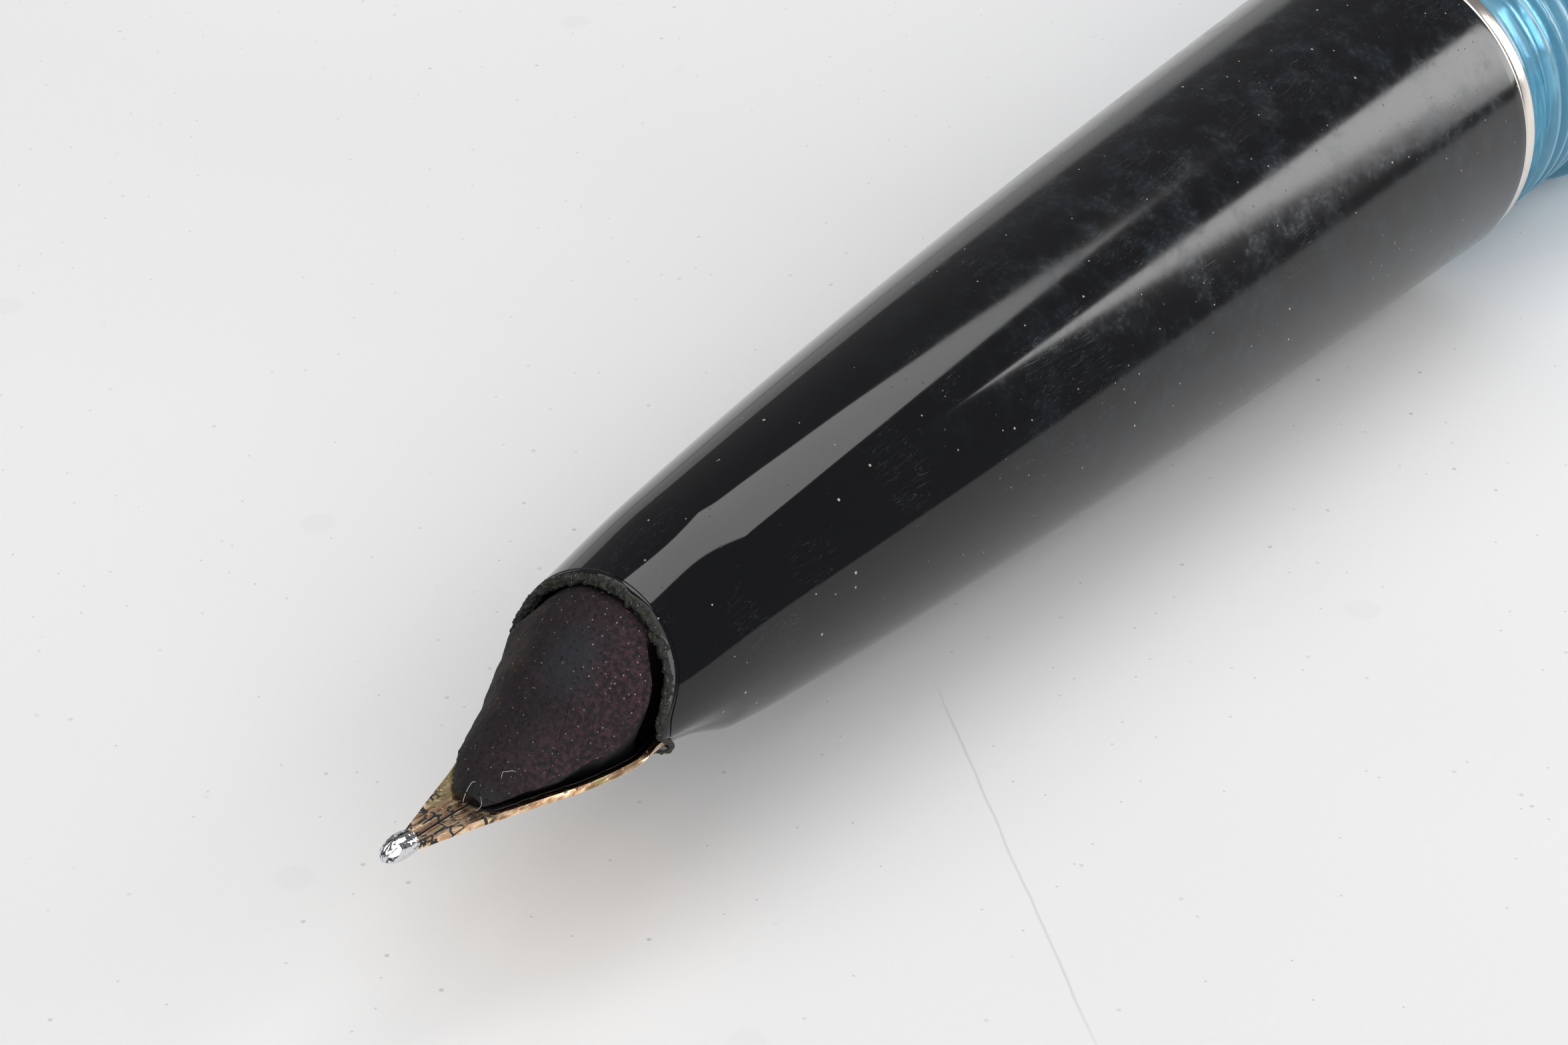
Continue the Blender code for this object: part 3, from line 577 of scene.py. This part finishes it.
def follow(knots, x):
    """A cubic through (length, value) knots, with the mean of its neighbours' slopes at each knot."""
    knots_x, values = np.array(knots).T
    secant = np.diff(values) / np.diff(knots_x)
    slope = np.concatenate([secant[:1], (secant[1:] + secant[:-1]) / 2, secant[-1:]])
    inside = np.clip(x, knots_x[0], knots_x[-1])
    i = np.clip(np.searchsorted(knots_x, inside) - 1, 0, len(secant) - 1)
    gap = np.diff(knots_x)[i]
    t = (inside - knots_x[i]) / gap
    flat = values[i] * (1 + 2 * t) * (1 - t) ** 2 + values[i + 1] * t * t * (3 - 2 * t)
    return flat + gap * (slope[i] * t * (1 - t) ** 2 - slope[i + 1] * t * t * (1 - t))


def trough(x):
    """The nib's middle surface at lengths x: radius, half angle and height of its centre. Its section is
    an arc between two edges at one height, and its depth grows as a power of the length."""
    half = follow(NIB_OUTLINE, x)
    share = np.clip((x - NIB_TIP) / (SECTION_MOUTH - NIB_TIP), 0, 1)
    depth = TROUGH_TIP_DEPTH + TROUGH_GAIN * share**TROUGH_POWER
    radius = (half**2 + depth**2) / (2 * depth)
    angle = 2 * np.arctan2(depth, half)
    return radius, angle, follow(NIB_EDGE, x) + radius * np.cos(angle)


def make_nib(material):
    """Two sheets, one from the slit to each edge of the trough, whose points meet behind the breather
    hole. The slit's half width swells to the hole's circle and is nothing behind it. The wall is then
    given to both sides of the sheets."""
    spans = [(NIB_TIP, -46.8, 90), (-46.75, -45.85, 40), (-45.8, NIB_TAIL, 70)]
    x = np.concatenate([np.linspace(*span_x) for span_x in spans])[:, None]
    radius, angle, centre = trough(x)
    hole = np.sqrt(np.maximum(HOLE_RADIUS**2 - (x - HOLE_CENTRE) ** 2, 0))
    slit = np.maximum(hole, np.where(x < HOLE_CENTRE, SLIT, 0))
    start = np.arcsin(slit / radius)
    columns = 30
    turn = start + np.linspace(0, 1, columns) * (angle - start)
    right = np.stack([x + 0 * turn, -radius * np.sin(turn), centre - radius * np.cos(turn)], -1)
    left = right[:, ::-1] * (1, -1, 1)
    row = 2 * columns
    cells = np.concatenate([np.arange(columns - 1), np.arange(columns, row - 1)])
    cell = np.arange(len(x) - 1)[:, None] * row + cells
    faces = np.stack([cell, cell + row, cell + row + 1, cell + 1], -1).reshape(-1, 4)
    mesh = bpy.data.meshes.new("nib_metal")
    mesh.from_pydata(in_row(np.concatenate([left, right], 1).reshape(-1, 3)), [], faces.tolist())
    weld(mesh, outwards=False)
    mesh.shade_smooth()
    piece = place_new("nib_metal", mesh)
    wall = piece.modifiers.new("wall", "SOLIDIFY")
    wall.thickness = NIB_WALL * MM
    wall.offset = 0.0
    ease = piece.modifiers.new("ease", "BEVEL")
    ease.width = 0.04 * MM
    ease.segments = 3
    ease.limit_method = "ANGLE"
    ease.angle_limit = math.radians(50)
    return finish_piece(piece, material, "nib_gold", "barrel_body", "nib")


def make_tipping(side, material):
    """Half an egg of tipping: half ellipses, whose size follows an ellipse to the front and a sine to the
    rear, shut by a flat along the slit."""
    widest, rest = PELLET_WIDEST, 0.6
    ahead = widest + rest * np.sin(np.linspace(0.05, 1, 26) * math.pi / 2)
    t = np.concatenate([np.linspace(0, widest, 14), ahead])
    front = np.sqrt(np.maximum(1 - ((t - widest) / rest) ** 2, 0))
    swell = np.where(t < widest, 0.9 + 0.1 * np.sin(t / widest * math.pi / 2), front)
    swell[[0, -1]] = 0.0
    turn = np.linspace(0, math.pi, 33)[None, :]
    width, height = PELLET_HALF_WIDTH * swell[:, None], PELLET_HALF_HEIGHT * swell[:, None]
    x = (PELLET_START - PELLET_LENGTH * t)[:, None]
    y = side * (SLIT * np.minimum(swell[:, None] * 4, 1) + width * np.sin(turn))
    z = PELLET_CENTRE + 0.03 * np.sin(t * 3)[:, None] + height * np.cos(turn)
    name = "left" if side > 0 else "right"
    piece = skin(f"tipping_bead_{name}", np.stack([x + 0 * turn, y, z], -1))
    return finish_piece(piece, material, "tipping_metal", "barrel_body", f"tipping_{name}")


def make_feed(material):
    """Sections of an arc in the nib's trough, a flank sloping out to the leaf's edge, and a crown over it
    that rises as a power of 1 - (y / width)^2. The leaf's edge follows knots along x, and value noise
    roughens it."""
    x = np.concatenate([np.linspace(FEED_FRONT, -43.0, 190), np.linspace(-42.8, FEED_REAR, 20)])[:, None]
    radius, _, centre = trough(x)
    width, height, top = (follow(knots, x) for knots in (LEAF_WIDTH, LEAF_HEIGHT, FEED_TOP))
    ragged = smooth(-48.7, -48.0, x) * smooth(-43.2, -44.2, x)
    width = width + ragged * (0.1 * grain(np.hstack([x, 0 * x, 0 * x]), 0.5, 8)[:, None])
    seat = radius - NIB_WALL / 2 - FEED_GAP
    foot = np.arcsin(np.minimum(0.66 * width / seat, 1)) * np.linspace(0, 1, 16)
    under = np.stack([seat * np.sin(foot), centre - seat * np.cos(foot)], -1)
    height = np.maximum(height, under[:, -1:, 1] + 0.05)
    edge = np.stack([width, height], -1)
    flank = under[:, -1:] + (edge - under[:, -1:]) * np.linspace(0, 1, 12)[1:-1, None]
    share = np.cos(np.linspace(0, 1, 60) * math.pi / 2)
    lift = (1 - share**2) ** 0.8
    crown = np.stack([width * share, height + (top - height) * lift], -1)
    right = np.concatenate([under, flank, crown], 1)
    right = right * np.minimum(1, FEED_REACH / np.linalg.norm(right, axis=-1, keepdims=True))
    ring = np.concatenate([right, right[:, -2:0:-1] * (-1, 1)], 1)
    grid = np.concatenate([np.broadcast_to(x[:, None], ring.shape[:2] + (1,)), ring], -1)
    outward = grid - grid.mean(1, keepdims=True)
    outward /= np.linalg.norm(outward, axis=-1, keepdims=True)
    rough = 0.035 * grain(grid, 0.2, 3) + 0.1 * grain(grid, 0.8, 4) + 0.02 * grain(grid, 0.09, 5)
    grid = grid + outward * rough[..., None] * smooth(FEED_FRONT, -48.3, x)[:, None]
    caps = [grid[row].mean(1, keepdims=True) + 0 * grid[row] for row in (slice(0, 1), slice(-1, None))]
    piece = skin("feed_body", np.concatenate([caps[0], grid, caps[1]]))
    return finish_piece(piece, material, "feed_plastic", "barrel_body", "feed")


def make_ink_and_shade_film(material):
    """A dark film in the trough between the feed and the nib's edges, following the trough a little above
    it: dried ink, and painted shade in the gap.
    """
    # Painted shade: this dark sheet fills the gap between the feed and the nib's edges, along with the dried
    # ink there.
    x = np.linspace(-48.9, -42.5, 120)[:, None]
    radius, angle, centre = trough(x)
    inner = radius - NIB_WALL / 2 - FILM_GAP
    across = np.linspace(-1, 1, 61)[None, :]
    ragged = 0.97 + 0.06 * grain(np.hstack([x, 0 * x, 0 * x]), 0.3, 11)[:, None]
    turn = across * angle * ragged * np.where(across > 0, smooth(-48.6, -46.8, x), 1)
    lift = 0.1 * np.abs(across) ** 6
    level = inner - lift
    grid = np.stack([x + 0 * turn, level * np.sin(turn), centre - level * np.cos(turn)], -1)
    piece = skin("ink_and_shade_film", grid, wrap_columns=False)
    wall = piece.modifiers.new("wall", "SOLIDIFY")
    wall.thickness = FILM_WALL * MM
    return finish_piece(piece, material, "feed_plastic", "barrel_body")


def make_crust(material):
    """A lumpy cord just inside the mouth's rim: circles carried round it, swollen by value noise."""
    turn = whole_turn(420)[:, None]
    side = whole_turn(24)[None, :]
    size = 0.08 + 0.1 * smooth(-0.5, 0.4, np.cos(turn))
    r = CRUST_RADIUS + size * 0.85 * np.cos(side)
    rim = SECTION_MOUTH + mouth_shift(CRUST_RADIUS * np.sin(turn), CRUST_RADIUS * np.cos(turn))
    grid = np.stack([rim + 0.05 + size * np.sin(side), r * np.sin(turn), r * np.cos(turn)], -1)
    core = grid.mean(1, keepdims=True)
    swell = 1 + 0.9 * grain(grid, 0.13, 21) + 0.7 * grain(grid, 0.45, 22) + 0.6 * grain(grid, 0.06, 23)
    grid = core + (grid - core) * swell[..., None]
    piece = skin("ink_crust", grid, wrap_rows=True)
    return finish_piece(piece, material, "feed_plastic", "barrel_body")


def make_fibres(material):
    """Short loose hairs on the feed: thin tubes along gentle arcs that start and end on its surface."""
    starts = np.array([(-48.5, -0.1, -0.55), (-48.75, -0.32, -0.75), (-48.1, -0.55, -0.42)])
    ends = np.array([(-49.05, 0.02, -0.95), (-49.1, -0.5, -0.98), (-47.8, -0.8, -0.3)])
    bends = np.array([(0.1, 0.15, 0.14), (0.0, -0.12, 0.1), (0.0, 0.1, 0.12)])
    for number, (start, end, bend) in enumerate(zip(starts, ends, bends), 1):
        t = np.linspace(0, 1, 24)[:, None]
        line = start + (end - start) * t + bend * np.sin(t * math.pi) + 0.02 * np.sin(t * 8)
        side = whole_turn(6)
        tube = np.stack([0 * side, np.cos(side), np.sin(side)], -1) * FIBRE_RADIUS
        piece = skin(f"fibre_{number}", line[:, None, :] + tube[None])
        finish_piece(piece, material, "tube_plastic", "barrel_body")


# Ring, barrel and what shows through it


def make_ring(name, node, bore, ease, material, slot, body):
    """A band with eased edges, as long and as wide as its node."""
    start, end, radius = span(node)
    corners = [(start, radius, ease), (end, radius, ease), (end, bore, 0.02), (start, bore, 0.02)]
    return finish_piece(turned(name, eased(corners)), material, slot, body, node)


def helix(x, t, start, end, pitch, low, high):
    """Radius of a screw thread: a smoothed triangle wave of (x / pitch - t / turn), faded in at its ends."""
    phase = np.mod(x / pitch - t / FULL_TURN, 1.0)
    wave = smooth(0.12, 0.42, phase) * (1 - smooth(0.58, 0.88, phase))
    fade = smooth(start, start + pitch, x) * (1 - smooth(end - pitch, end, x))
    return low + (high - low) * wave * fade


def make_barrel(material):
    """The outline is turned. On the neck the radius follows a helix, so the cap's thread is a real screw."""
    start, end, radius = span("barrel")
    x = np.linspace(start + 0.1, 6.86, 150)
    neck = np.stack([x, np.full_like(x, NECK_ROOT)], -1)
    land = [(6.9, NECK_ROOT), (6.9, 5.5), (6.98, LAND_RADIUS), (SEAT - 0.04, LAND_RADIUS)]
    shoulder = [(SEAT, 5.66), (SEAT, 5.95), (8.46, radius - 0.13), (8.6, radius - 0.03), (8.8, radius)]
    body_x = np.linspace(9.6, end - 0.1, 60)
    body = np.stack([body_x, radius - 0.35 * smooth(44.0, 70.0, body_x)], -1)
    tail = body[-1, 1]
    back = [(end, tail - 0.1), (end, 4.5), (end - 0.05, BARREL_BORE), (start + 0.05, BARREL_BORE)]
    back += [(start, 4.5), (start, 5.1)]
    outline = np.concatenate([neck, land + shoulder, body, back])
    t = whole_turn(AROUND)
    r = np.repeat(outline[:, 1:], AROUND, 1)
    r[: len(neck)] = helix(neck[:, :1], t, 1.4, 6.8, THREAD_PITCH, NECK_ROOT, NECK_CREST)
    piece = skin("blue_barrel", circles(outline[:, :1], r, t), wrap_rows=True)
    return finish_piece(piece, material, "barrel_plastic", "barrel_body", "barrel")


def make_connector(material):
    """The tube between section and barrel, with a screw thread under the ring and the o-ring's groove."""
    x = np.linspace(1.3, 5.6, 90)
    screw = np.stack([x, np.full_like(x, CONNECTOR_ROOT)], -1)
    front = [(-13.7, CONNECTOR_BORE), (-13.7, 4.2), (0.9, 4.2), (1.0, 4.08)]
    back = [(6.2, CONNECTOR_ROOT), (6.2, 3.55), (7.2, 3.55), (7.2, CONNECTOR_ROOT), (8.5, CONNECTOR_ROOT)]
    back += [(8.6, 3.95), (8.6, 2.3), (8.5, CONNECTOR_BORE)]
    outline = np.concatenate([front, screw, back])
    t = whole_turn(AROUND)
    r = np.repeat(outline[:, 1:], AROUND, 1)
    thread = helix(x[:, None], t, 1.3, 5.6, THREAD_PITCH, CONNECTOR_ROOT, CONNECTOR_CREST)
    r[len(front) : len(front) + len(screw)] = thread
    piece = skin("threaded_connector", circles(outline[:, :1], r, t), wrap_rows=True)
    return finish_piece(piece, material, "barrel_plastic", "barrel_body", "section_connector")


def make_inner_rings(rubber, clear):
    """The o-ring, a circle carried round the axis, and the air tube, a band with eased edges."""
    t = whole_turn(24)
    start, end, radius = span("section_o_ring")
    thick = (end - start) / 2
    ring = np.stack([(start + end) / 2 + thick * np.sin(t), radius - thick + thick * np.cos(t)], -1)
    finish_piece(turned("o_ring", ring), rubber, "rubber", "barrel_body", "section_o_ring")
    start, end, radius = span("breather_tube")
    corners = [(start, radius, 0.05), (end, radius, 0.05), (end, 0.36, 0.02), (start, 0.36, 0.02)]
    tube = turned("air_tube", eased(corners), 48)
    finish_piece(tube, clear, "tube_plastic", "barrel_body", "breather_tube")


def make_piston(dark, white):
    """The piston's turned core, and its seal: a turned outline with a lip at each end."""
    start, end, _ = span("piston_head")
    head = [(start, 0.0), (start, 2.6), (start + 0.08, 2.9), (start + 0.35, 3.25), (end - 1.2, 3.3)]
    head += [(end - 1.2, 1.6), (end - 0.05, 1.6), (end, 1.5), (end, 0.0)]
    core = turned("piston_core", head, 96, solid=True)
    finish_piece(core, dark, "inner_plastic", "piston_body", "piston_head")
    start, end, radius = span("piston_seal")
    corners = [(start, 3.6, 0.05), (start, radius, 0.12), (start + 0.5, radius, 0.15)]
    corners += [(start + 0.9, 4.15, 0.2), (end - 0.9, 4.15, 0.2), (end - 0.5, radius, 0.15)]
    corners += [(end, radius, 0.12), (end, 3.6, 0.05), (end - 0.6, 3.38, 0.05), (start + 0.6, 3.38, 0.05)]
    lips = turned("piston_lips", eased(corners))
    finish_piece(lips, white, "piston_plastic", "piston_body", "piston_seal")


def make_guide(material):
    """The sleeve in the barrel's rear: a turned tube whose front wall is open on a flatted hole."""
    start, end, _ = span("guide_collar")
    t = (np.arange(AROUND) + 0.5) * FULL_TURN / AROUND
    hole_y = GUIDE_HOLE_RADIUS * np.sin(t)
    hole_z = np.clip(-GUIDE_HOLE_RADIUS * np.cos(t), -GUIDE_FLAT, GUIDE_FLAT)
    hole = np.hypot(hole_y, hole_z)
    angle = np.arctan2(hole_y, -hole_z)
    outline = [(start, 4.25), (start + 0.08, 4.33), (66.02, 4.33), (66.1, 4.4), (66.1, 5.1), (66.2, 5.2)]
    outline += [(end, 5.2), (end, GUIDE_BORE), (GUIDE_WALL_END, GUIDE_BORE)]
    x, r = np.array(outline).T[:, :, None]
    outer = circles(x, r, angle)
    wall = circles(GUIDE_WALL_END, hole, angle)
    front = wall + (start - GUIDE_WALL_END, 0, 0)
    piece = skin("guide_sleeve", np.concatenate([outer, wall[None], front[None]]), wrap_rows=True)
    return finish_piece(piece, material, "inner_plastic", "barrel_body", "guide_collar")


def make_knob(black, blue):
    """The turning knob, a turned cigar end whose side falls away as a power of a cubic, and its finial, a
    dome whose length and radius are powers of a sine and a cosine."""
    start, end, _ = span("turning_knob")
    x = np.linspace(KNOB_FRONT, end - KNOB_ROUNDING, 40)
    side = np.stack([x, KNOB_RADIUS - 0.72 * smooth(KNOB_FRONT, 86.0, x) ** 1.2], -1)
    t = np.linspace(0, math.pi / 2, 8)[1:]
    last = side[-1, 1]
    shoulder_x = end - KNOB_ROUNDING + KNOB_ROUNDING * np.sin(t)
    shoulder = np.stack([shoulder_x, last - 0.5 * (1 - np.cos(t))], -1)
    front = [(start, 1.7), (start, 5.3), (start + 0.05, 5.35), (68.75, 5.35), (68.75, 5.84), (68.85, 5.92)]
    back = [(end, 0.0), (end, 0.0), (72.3, 0.0), (72.3, 1.68)]
    knob = turned("knob_body", np.concatenate([front, side, shoulder, back]))
    finish_piece(knob, black, "section_plastic", "knob_body", "turning_knob")
    start, end, radius = span("knob_finial")
    t = np.linspace(0, math.pi / 2, 24)
    dome_x = start + (end - start) * np.sin(t) ** 0.9
    dome_r = FINIAL_FLAT + (radius - FINIAL_FLAT) * np.cos(t) ** 0.8
    dome = np.stack([dome_x, dome_r], -1)
    outline = np.concatenate([[(start, 0.0), (start, radius - 0.05)], dome, [(end, 0.0)]])
    finial = turned("finial_jewel", outline, solid=True)
    finish_piece(finial, blue, "barrel_plastic", "knob_body", "knob_finial")


# Setting


def make_floor(material):
    """A level square under the pen."""
    half = FLOOR_HALF
    mesh = bpy.data.meshes.new("floor")
    corners = [(-half, -half, 0), (half, -half, 0), (half, half, 0), (-half, half, 0)]
    mesh.from_pydata(corners, [], [(0, 1, 2, 3)])
    mesh.materials.append(material)
    floor = place_new("floor", mesh)


def aim(thing, position, target):
    """Puts a lamp or camera at a position, facing a target."""
    thing.location = position
    thing.rotation_euler = (Vector(target) - Vector(position)).to_track_quat("-Z", "Y").to_euler()


def add_lamp(name, position, target, size, power, colour=(1, 1, 1), roll=0.0):
    """A rectangular soft light; position and target are millimetres in the pen's frame."""
    lamp = bpy.data.lights.new(name, "AREA")
    lamp.shape = "RECTANGLE"
    lamp.size, lamp.size_y = (s * MM for s in size)
    lamp.energy = power
    lamp.color = colour
    holder = place_new(name, lamp)
    aim(holder, in_row(position), in_row(target))
    holder.rotation_euler.rotate_axis("Z", math.radians(roll))


def add_lamps():
    """Large soft panels above, behind and beside the pen, and an even grey world."""
    add_lamp("top_panel", (144, 13, 300), (144, 13, 0), (153, 190), 0.25, roll=37)
    add_lamp("side_panel", (760, -450, 330), (760, 0, 330), (440, 540), 4.3)
    add_lamp("overhead_panel", (-350, -430, 800), (-60, 0, 0), (1300, 1300), 6.4)
    add_lamp("back_key", (-70, 340, 700), (0, 0, 0), (600, 420), 1.1)
    add_lamp("front_fill", (-380, -680, 400), (0, 0, 0), (900, 700), 3.0)
    add_lamp("horizon_card", (760, 760, 130), (0, 0, 60), (760, 260), 0.3)
    world = bpy.data.worlds.new("studio")
    world.use_nodes = True
    world.node_tree.nodes["Background"].inputs["Color"].default_value = (0.19, 0.19, 0.195, 1)
    bpy.context.scene.world = world


def add_camera():
    """A long lens, looking down on the pen from the nib's end."""
    data = bpy.data.cameras.new("camera")
    data.lens = LENS
    data.sensor_width = 36.0
    data.clip_start = 0.005
    camera = place_new("camera", data)
    aim(camera, in_row(CAMERA_PLACE), in_row(CAMERA_PLACE + CAMERA_LOOK))
    bpy.context.scene.camera = camera


def main():
    """Makes every piece and its material, then the setting."""
    black = black_plastic()
    gold = inked_gold()
    silver = turned_metal("silver_ring_metal", (0.78, 0.72, 0.66), 0.16)
    brass = turned_metal("turned_brass", (0.78, 0.6, 0.3), 0.2)
    blue = clear_plastic("blue_barrel_plastic", (0.36, 0.72, 0.9), (0.05, 0.36, 0.55), 0.35, 0.12)
    clear = clear_plastic("clear_tube_plastic", (0.9, 0.94, 0.96), (0.7, 0.78, 0.84))
    tipping = bright_tipping()
    dark = moulded("dark_inner_plastic", (0.02, 0.021, 0.024), 0.35)
    white = moulded("white_piston_plastic", (0.72, 0.72, 0.7), 0.3)
    rubber = moulded("seal_rubber", (0.012, 0.012, 0.012), 0.6, 0.03)
    make_section(black)
    make_nib(gold)
    for side in (1, -1):
        make_tipping(side, tipping)
    make_feed(feed_stain_and_shade())
    make_ink_and_shade_film(ink_and_shade_film())
    make_crust(ink_crust())
    make_fibres(moulded("pale_fibre", (0.45, 0.5, 0.56), 0.6))
    make_ring("silver_ring", "trim_ring", 4.4, 0.14, silver, "ring_metal", "barrel_body")
    make_barrel(blue)
    make_connector(blue)
    make_inner_rings(rubber, clear)
    make_piston(dark, white)
    make_guide(dark)
    make_ring("rear_ring", "barrel_end_ring", 5.3, 0.12, brass, "brass", "barrel_body")
    make_ring("knob_band", "knob_ring", 5.42, 0.14, silver, "ring_metal", "knob_body")
    make_ring("washer", "friction_washer", 1.85, 0.05, rubber, "rubber", "barrel_body")
    make_knob(black, blue)
    kept = {"nib_sleeve": dark, "ink_collector": dark, "spindle_retainer": brass, "rod_nut": brass}
    kept.update({"spindle": brass, "piston_rod": white})
    for node, material in kept.items():
        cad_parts[node].data.materials.clear()
        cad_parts[node].data.materials.append(material)
    make_floor(pale_floor())
    add_lamps()
    add_camera()
    bpy.context.scene.view_settings.view_transform = "Standard"


main()
